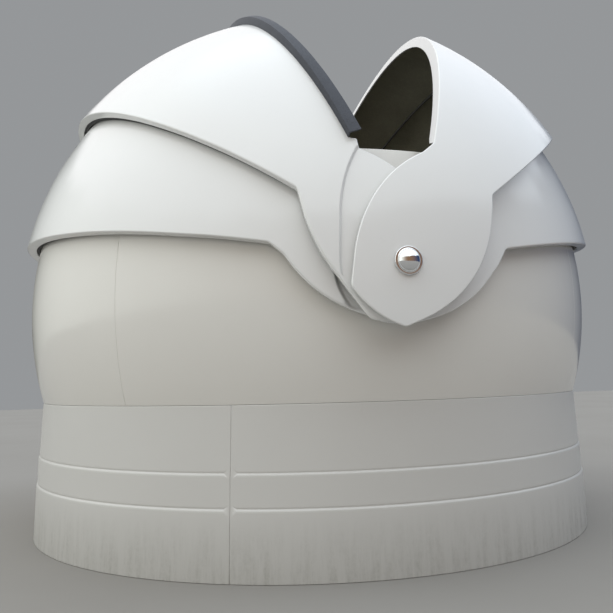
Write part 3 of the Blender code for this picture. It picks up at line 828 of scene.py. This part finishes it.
def make_fixed_body():
    foot = asin((WALL_HEIGHT + GAP - AXLE_HEIGHT) / BODY_RADIUS)
    quarter = radians(45) - GAP / 2 / BODY_RADIUS
    quarters = ("front", FRONT), ("right", None), ("back", BACK), ("left", None)
    for number, (name, half) in enumerate(quarters):
        m = radians(90 * number)
        ball = Ball((sin(m), -cos(m), 0), (cos(m), sin(m), 0), BODY_RADIUS)
        loop = body_outline(ball, half, foot, quarter)
        at_seam = (np.abs(np.abs(loop[:, 0]) - quarter) < 1e-6) | (np.abs(loop[:, 1] - foot) < 1e-6)
        shell = make_shell("fixed_body_%s_shell" % name, ball, loop,
                           lambda sw: BODY_RADIUS, BODY_LIP, np.where(at_seam, BODY_SEAM_EDGE, SHELL_EDGE),
                           "dome_base", (BODY_PAINTED_WARM_SHADE_GELCOAT, INSIDE_FLOWCOAT_PAINTED_SHADE), holes=[((0.0, 0.0), AXLE_HOLE)] if half else [])
        stands_for(shell, "fixed_body_" + name)


# Shutters

SHUTTERS = {
    "left_outer": dict(side=LEFT, radius=LEFT_OUTER_RADIUS, lip=LEFT_OUTER_LIP, near=left_outer_near,
                       top=LEFT_CLOSING, rim=OUTER_RIM, lift=OUTER_LIFT,
                       step=(left_outer_step, *OUTER_STEP), soft=SOFT_OUTER),
    "left_inner": dict(side=LEFT, radius=INNER_RADIUS, lip=INNER_LIP, near=left_inner_near,
                       top=INNER_TOP, rim=INNER_RIM, lift=INNER_LIFT,
                       step=(left_inner_step, *INNER_STEP), soft=SOFT_INNER),
    "right_outer": dict(side=RIGHT, radius=RIGHT_OUTER_RADIUS, lip=RIGHT_OUTER_LIP, near=right_outer_near,
                        top=RIGHT_CLOSING, rim=OUTER_RIM, plain=PLAIN_OUTER),
    "right_inner": dict(side=RIGHT, radius=INNER_RADIUS, lip=INNER_LIP, near=right_inner_near,
                        top=INNER_TOP, rim=INNER_RIM, plain=PLAIN_INNER),
}


def eased(values):
    """Values along a closed outline with their sudden changes spread over a few points."""
    around = np.concatenate([values[-2:], values, values[:2]])
    return np.convolve(around, np.full(5, 0.2), "valid")


def make_shutter(name, side, radius, lip, near, top, rim, lift=NO_LIFT, step=None, plain=None, soft=None):
    middle = radians(side * (top + rim) / 2)
    ball = Ball((0, -1, 0), (sin(middle), 0, cos(middle)), radius)
    loop = counter_clockwise(ball.chart(shutter_loop(near(), side, top, rim, lift, radius)))
    fall = Step(side, *step) if step else None

    def radius_at(sw):
        return radius - (fall.drop(ball.front_view(sw)) if fall else 0.0)

    seen = ball.front_view(loop) * (side, 1)
    lips = np.full(len(loop), lip)
    if plain:
        zone = np.array(plain)
        away = np.where(inside(seen, zone), 0.0, distance_to(seen, zone))
        lips += (radius - PLAIN_DEPTH - lip) * (1 - smoothstep(away / FLANGE_RAMP))
    edge = np.full(len(loop), SHELL_EDGE)
    if soft:
        edge = eased(np.where(inside(seen, np.array(soft)), SOFT_EDGE, edge))
    # the inner shutters' top edge gets the near-black painted shade
    on_top_edge = np.degrees(np.arctan2(seen[:, 0], seen[:, 1])) < top + 1.0
    shell = make_shell("shutter_%s_shell" % name, ball, loop, radius_at, lips, edge, name,
                       (WHITE, INSIDE_FLOWCOAT_PAINTED_SHADE, EDGE_PAINTED_SHADE), fall.creases(ball) if fall else (),
                       [((0.0, 0.0), BUSH_HOLE), ((pi, 0.0), BUSH_HOLE)],
                       on_top_edge if top == INNER_TOP else None)
    stands_for(shell, "shutter_" + name)


# Seals

def between(first, second, count):
    """Faces between two closed rings, by the numbers of their first points."""
    return [(first + i, first + (i + 1) % count, second + (i + 1) % count, second + i)
            for i in range(count)]


def plain_mesh(name, verts, faces, mat, body, angle=38):
    """A mesh of one material, with sharp edges where it turns by more than the angle."""
    mesh = bpy.data.meshes.new(name)
    mesh.from_pydata(verts, [], faces)
    work = bmesh.new()
    work.from_mesh(mesh)
    bmesh.ops.remove_doubles(work, verts=work.verts, dist=1e-6)
    bmesh.ops.recalc_face_normals(work, faces=work.faces)
    work.to_mesh(mesh)
    work.free()
    mesh.shade_smooth()
    mesh.set_sharp_from_angle(angle=radians(angle))
    mesh.materials.append(mat)
    return riding(mesh, body)


def rounded(points, radius, steps=3):
    """A closed section with its corners rounded."""
    out = []
    for before, here, after in zip(points[-1:] + points[:-1], points, points[1:] + points[:1]):
        b, h, a = Vector(before), Vector(here), Vector(after)
        r = min(radius, (b - h).length * 0.45, (a - h).length * 0.45)
        p, q = h + (b - h).normalized() * r, h + (a - h).normalized() * r
        for t in (i / steps for i in range(steps + 1)):
            out.append(tuple(p * (1 - t) ** 2 + h * 2 * t * (1 - t) + q * t ** 2))
    return out


def strip_along(name, side, angle, lift, start, section_at, mat, body, steps=110):
    """A strip swept along a plane through the axle, with flat ends.

    Its section, at a distance from the axle, is a list of (distance below the plane, radius)."""
    first_section = section_at(start)
    count, base = len(first_section), first_section[0][1]
    first = asin(start / base)
    verts, faces = [], []
    for k in range(steps + 1):
        phi = first + (pi - 2 * first) * k / steps
        section = section_at(base * sin(phi))
        t = radians(lifted(angle, lift, section[0][1] * sin(phi)))
        outward = np.array([sin(phi) * sin(t) * side, -cos(phi), sin(phi) * cos(t)])
        below = np.array([cos(t) * side, 0.0, -sin(t)])
        verts += [tuple(PIVOT + outward * sqrt(r * r - a * a) + below * a) for a, r in section]
        if k:
            faces += between((k - 1) * count, k * count, count)
    faces.append(tuple(range(count)))
    faces.append(tuple(range(steps * count, (steps + 1) * count))[::-1])
    return plain_mesh(name, verts, faces, mat, body)


def closing_section(distance):
    """The flap on the left shell's edge: near the ears it stands up steeply, and over the top it slopes."""
    foot, under = LEFT_OUTER_RADIUS + GAP, RIGHT_OUTER_RADIUS + CLOSING_SEAL_CLEARANCE
    over = under + CLOSING_SEAL_THICKNESS
    slope = (distance - CLOSING_SEAL_START) / (RIGHT_OUTER_RADIUS - CLOSING_SEAL_START)
    slope = min(1.0, max(0.0, slope))
    crest, heel = 0.003 - 0.016 * slope, -0.013 * slope
    return rounded([(CLOSING_SEAL_FOOT, foot), (CLOSING_SEAL_FOOT, foot + 0.0018), (crest, over),
                    (-CLOSING_SEAL_REACH, over), (-CLOSING_SEAL_REACH, under), (heel, under),
                    (0.0, foot)], SEAL_ROUND)


def rim_section(below):
    """The strip inside a rim: it hangs on the flange, down to a lip over the shell below."""
    face = -SKIN - GAP
    back = face - RIM_SEAL_THICKNESS
    foot = below + RIM_SEAL_FOOT
    head, bend = foot + RIM_SEAL_HEIGHT, foot + 0.006
    return rounded([(face, head), (face, bend), (face + 0.004, foot), (face - 0.001, foot - 0.001),
                    (back, bend), (back, head)], SEAL_ROUND)


def make_seals():
    for name, facts in SHUTTERS.items():
        section = rim_section(BODY_RADIUS if "inner" in name else INNER_RADIUS)
        strip = strip_along("rim_seal_%s_strip" % name, facts["side"], facts["rim"],
                            facts.get("lift", NO_LIFT), RIM_SEAL_START, lambda distance: section,
                            BLACK_RUBBER, name)
        stands_for(strip, "rim_seal_" + name)
    strip = strip_along("closing_seal_strip", LEFT, LEFT_CLOSING, NO_LIFT, CLOSING_SEAL_START,
                        closing_section, SLATE_RUBBER, "left_outer")
    stands_for(strip, "closing_seal")


# Axle fittings

def turned(name, profile, end, mat, body, steps, angle):
    """A closed profile of (radius, distance out along the axle) turned about the axle."""
    verts, faces = [], []
    count = len(profile)
    for k in range(steps):
        a = tau * k / steps
        verts += [(r * cos(a), end * y, AXLE_HEIGHT + r * sin(a)) for r, y in profile]
        faces += between(k * count, (k + 1) % steps * count, count)
    ob = plain_mesh(name, verts, faces, mat, body, angle)
    work = bmesh.new()
    work.from_mesh(ob.data)
    bmesh.ops.dissolve_degenerate(work, dist=1e-6, edges=work.edges)
    work.to_mesh(ob.data)
    work.free()
    return ob


def cap_profile(base, _):
    dome = [(0.033 * cos(t), 0.0062 + 0.0206 * sin(t)) for t in np.radians(range(84, -1, -6))]
    brim = [(0.0345, 0.0052), (0.0372, 0.0054), (0.0392, 0.0058), (0.0405, 0.0048), (0.0410, 0.0030),
            (0.0410, 0.0), (0.0, 0.0)]
    return [(r, base + y) for r, y in [(0.0, 0.0268)] + dome + brim]


def plate_profile(near, far):
    radius, chamfer = 0.080, 0.002
    return [(AXLE_HOLE, far), (radius - chamfer, far), (radius, far - chamfer),
            (radius, near + chamfer), (radius - chamfer, near), (AXLE_HOLE, near)]


def axle_profile(near, far):
    """A pin with a chamfered outer end and a thicker head inside the dome."""
    pin, head, neck = 0.0160, 0.0280, near + 0.0120
    return [(0.0, far), (pin - 0.0015, far), (pin, far - 0.0015), (pin, neck), (head, neck),
            (head, near + 0.002), (head - 0.002, near), (0.0, near)]


def bush_profile(near, far):
    sleeve, flange, chamfer = 0.0222, 0.0360, 0.0005
    return [(AXLE_HOLE, far), (0.0218, far), (sleeve, far - chamfer), (sleeve, near + 0.002),
            (flange, near + 0.002), (flange, near), (AXLE_HOLE, near)]


def make_fitting(node_name, ending, profile_of, end, mat, body="dome_base", steps=64, angle=38):
    """A turned piece in a node's place, as long along the axle as the node is."""
    low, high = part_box(node_name)
    profile = profile_of(*sorted((abs(low.y), abs(high.y))))
    stands_for(turned(node_name + ending, profile, end, mat, body, steps, angle), node_name)


def make_fittings():
    for end, name in ((FRONT, "front"), (BACK, "back")):
        make_fitting("axle_cap_" + name, "_dome", cap_profile, end, CHROME, steps=96, angle=50)
        make_fitting("axle_plate_" + name, "_disc", plate_profile, end, ZINC)
        make_fitting("axle_" + name, "_pin", axle_profile, end, STEEL)
        for shutter in SHUTTERS:
            make_fitting("bush_%s_%s" % (shutter, name), "_ring", bush_profile, end, BRONZE,
                         shutter, steps=48)


# Bolts through the flanges

WALL_BOLT_CIRCLE = 1.034
WALL_BOLT_HEIGHTS = (0.07, 0.18, 0.29, 0.40)
BODY_BOLT_CIRCLE = 1.105
BODY_BOLT_ELEVATIONS = (-14, -7.5, -1.0, 5.0)
WASHER = dict(sides=20, radius=0.0085, chamfer=0.0003)
HEXAGON = dict(sides=6, radius=0.0075, chamfer=0.001)
WASHER_THICKNESS = 0.0016
HEAD_THICKNESS = 0.0055
NUT_THICKNESS = 0.0065


def disc(verts, faces, place, side, low, high, sides, radius, chamfer):
    """A chamfered disc or hexagon between two heights above or below a place."""
    start = len(verts)
    for r, z in ((radius, low), (radius, high - chamfer), (radius - chamfer, high)):
        for k in range(sides):
            a = tau * k / sides
            verts.append(tuple(place @ Vector((r * cos(a), r * sin(a), z * side))))
    for first in (start, start + sides):
        faces += between(first, first + sides, sides)
    faces.append(tuple(range(start, start + sides))[::-1])
    faces.append(tuple(range(start + 2 * sides, start + 3 * sides)))


def bolt(verts, faces, point, direction):
    """A hexagon head on a washer, and a nut and washer on the far side of two flanges."""
    turn = Vector(direction).to_track_quat("Z", "Y").to_matrix().to_4x4()
    place = Matrix.Translation(point) @ turn
    flange = SKIN + GAP / 2
    seat = flange + WASHER_THICKNESS
    for side, thickness in ((1, HEAD_THICKNESS), (-1, NUT_THICKNESS)):
        disc(verts, faces, place, side, flange, seat, **WASHER)
        disc(verts, faces, place, side, seat, seat + thickness, **HEXAGON)


def make_bolts():
    verts, faces = [], []
    for number in range(4):
        rows = [(WALL_SEAM_AZIMUTH, [(WALL_BOLT_CIRCLE, height) for height in WALL_BOLT_HEIGHTS]),
                (45, [(BODY_BOLT_CIRCLE * cos(e), AXLE_HEIGHT + BODY_BOLT_CIRCLE * sin(e))
                      for e in np.radians(BODY_BOLT_ELEVATIONS)])]
        for azimuth, row in rows:
            a = radians(azimuth + 90 * number)
            for out, height in row:
                bolt(verts, faces, (out * sin(a), -out * cos(a), height), (cos(a), sin(a), 0))
    plain_mesh("flange_bolts", verts, faces, ZINC, "dome_base", 30)


make_wall()
make_fixed_body()
for shutter_name, shutter_facts in SHUTTERS.items():
    make_shutter(shutter_name, **shutter_facts)
make_seals()
make_fittings()
make_bolts()


# Studio

def make_floor():
    work = bmesh.new()
    bmesh.ops.create_grid(work, x_segments=2, y_segments=2, size=14.0)
    mesh = bpy.data.meshes.new("studio_floor")
    work.to_mesh(mesh)
    work.free()
    mat, tree, shader, place = new_material("floor_paint")
    cloud = spread(tree, noise(tree, place, 0.8, 5.0), 0.3, 0.7, 0.0, 1.0)
    tint = blend(tree, cloud, (0.275, 0.26, 0.24), (0.255, 0.24, 0.22))
    tree.links.new(tint, shader.inputs["Base Color"])
    shader.inputs["Roughness"].default_value = 0.85
    mesh.materials.append(mat)
    floor = bpy.data.objects.new("studio_floor", mesh)
    floor.location.z = -0.0006
    bpy.context.scene.collection.objects.link(floor)


# The sky's colour by height and side, as the glossy shells show it
SKY = {
    "low": {"left": (1.35, 1.40, 1.33), "right": (0.03, 0.06, 0.14), "front": (0.26, 0.16, 0.10)},
    "middle": {"left": (1.54, 1.57, 1.57), "right": (1.10, 1.24, 1.40), "front": (1.47, 1.52, 1.51),
               "back": (0.96, 0.93, 0.94)},
    "high": {"left": (1.54, 1.59, 1.60), "right": (1.26, 1.39, 1.57), "front": (1.69, 1.80, 1.85),
             "back": (0.96, 0.93, 0.94)},
}
ZENITH = (1.56, 1.69, 1.81)

# The heights, as upward parts of a direction, where each band of the sky gives way to the next
BAND_EDGES = ((0.41, 0.46), (0.58, 0.68), (0.82, 0.92))
BACKDROP = (0.30, 0.31, 0.32, 1.0)


def sky_colour(tree):
    """A bright sky above a ragged low band, which is bright on the left only."""
    direction = node(tree, "ShaderNodeTexCoord").outputs["Generated"]
    parts = node(tree, "ShaderNodeSeparateXYZ", {"Vector": direction}).outputs
    ragged = spread(tree, noise(tree, direction, 3.5, 6.0, 0.6), 0.3, 0.7, -0.06, 0.06)
    heights = (maths(tree, "ADD", parts["Z"], ragged), parts["Z"], parts["Z"])
    rise = [spread(tree, height, *edges, 0.0, 1.0) for height, edges in zip(heights, BAND_EDGES)]
    bands = {"low": maths(tree, "SUBTRACT", 1.0, rise[0]),
             "middle": maths(tree, "SUBTRACT", rise[0], rise[1]),
             "high": maths(tree, "SUBTRACT", rise[1], rise[2])}
    squares = [maths(tree, "POWER", parts[axis], 2.0) for axis in "XY"]
    level = maths(tree, "MAXIMUM", maths(tree, "ADD", *squares), 1e-6)
    sides = {}
    for side, axis, sign in (("left", "X", -1.0), ("right", "X", 1.0),
                             ("front", "Y", -1.0), ("back", "Y", 1.0)):
        towards = maths(tree, "MAXIMUM", maths(tree, "MULTIPLY", parts[axis], sign), 0.0)
        sides[side] = maths(tree, "DIVIDE", maths(tree, "MULTIPLY", towards, towards), level)
    total = node(tree, "ShaderNodeVectorMath", {0: rise[2], 1: ZENITH}, operation="MULTIPLY").outputs[0]
    for band, colours in SKY.items():
        for side, colour in colours.items():
            weight = maths(tree, "MULTIPLY", bands[band], sides[side])
            total = node(tree, "ShaderNodeVectorMath", {0: weight, 1: colour, 2: total},
                         operation="MULTIPLY_ADD").outputs[0]
    return total


def make_world():
    """Soft light from all round, with a plain backdrop where the camera looks straight at it."""
    world = bpy.data.worlds.new("studio")
    bpy.context.scene.world = world
    world.use_nodes = True
    tree = world.node_tree
    background = tree.nodes["Background"]
    tree.links.new(sky_colour(tree), background.inputs["Color"])
    background.inputs["Strength"].default_value = 1.0
    shown = node(tree, "ShaderNodeBackground", {"Color": BACKDROP, "Strength": 1.0})
    sight = node(tree, "ShaderNodeLightPath").outputs["Is Camera Ray"]
    mixed = node(tree, "ShaderNodeMixShader", {0: sight, 1: background.outputs[0], 2: shown.outputs[0]})
    tree.links.new(mixed.outputs[0], tree.nodes["World Output"].inputs["Surface"])


def make_camera():
    """The photograph's view: low down, a little left of the axle, with the picture cropped off centre."""
    yaw, pitch, roll = 0.2545, 0.2564, -0.0241
    forward = Vector((sin(yaw) * cos(pitch), cos(yaw) * cos(pitch), sin(pitch)))
    level = Vector((cos(yaw), -sin(yaw), 0.0))
    up = level.cross(forward)
    right_way = level * cos(roll) + up * sin(roll)
    up_way = -level * sin(roll) + up * cos(roll)
    data = bpy.data.cameras.new("camera")
    data.lens = 42.79
    data.sensor_width = 36.0
    data.shift_x = -0.0350
    data.shift_y = -0.1990
    camera = bpy.data.objects.new("camera", data)
    turn = Matrix((right_way, up_way, -forward)).transposed().to_4x4()
    camera.matrix_world = Matrix.Translation((-0.7228, -3.1509, 0.5423)) @ turn
    bpy.context.scene.collection.objects.link(camera)
    bpy.context.scene.camera = camera


bpy.context.scene.view_settings.view_transform = "Standard"
make_floor()
make_world()
make_camera()
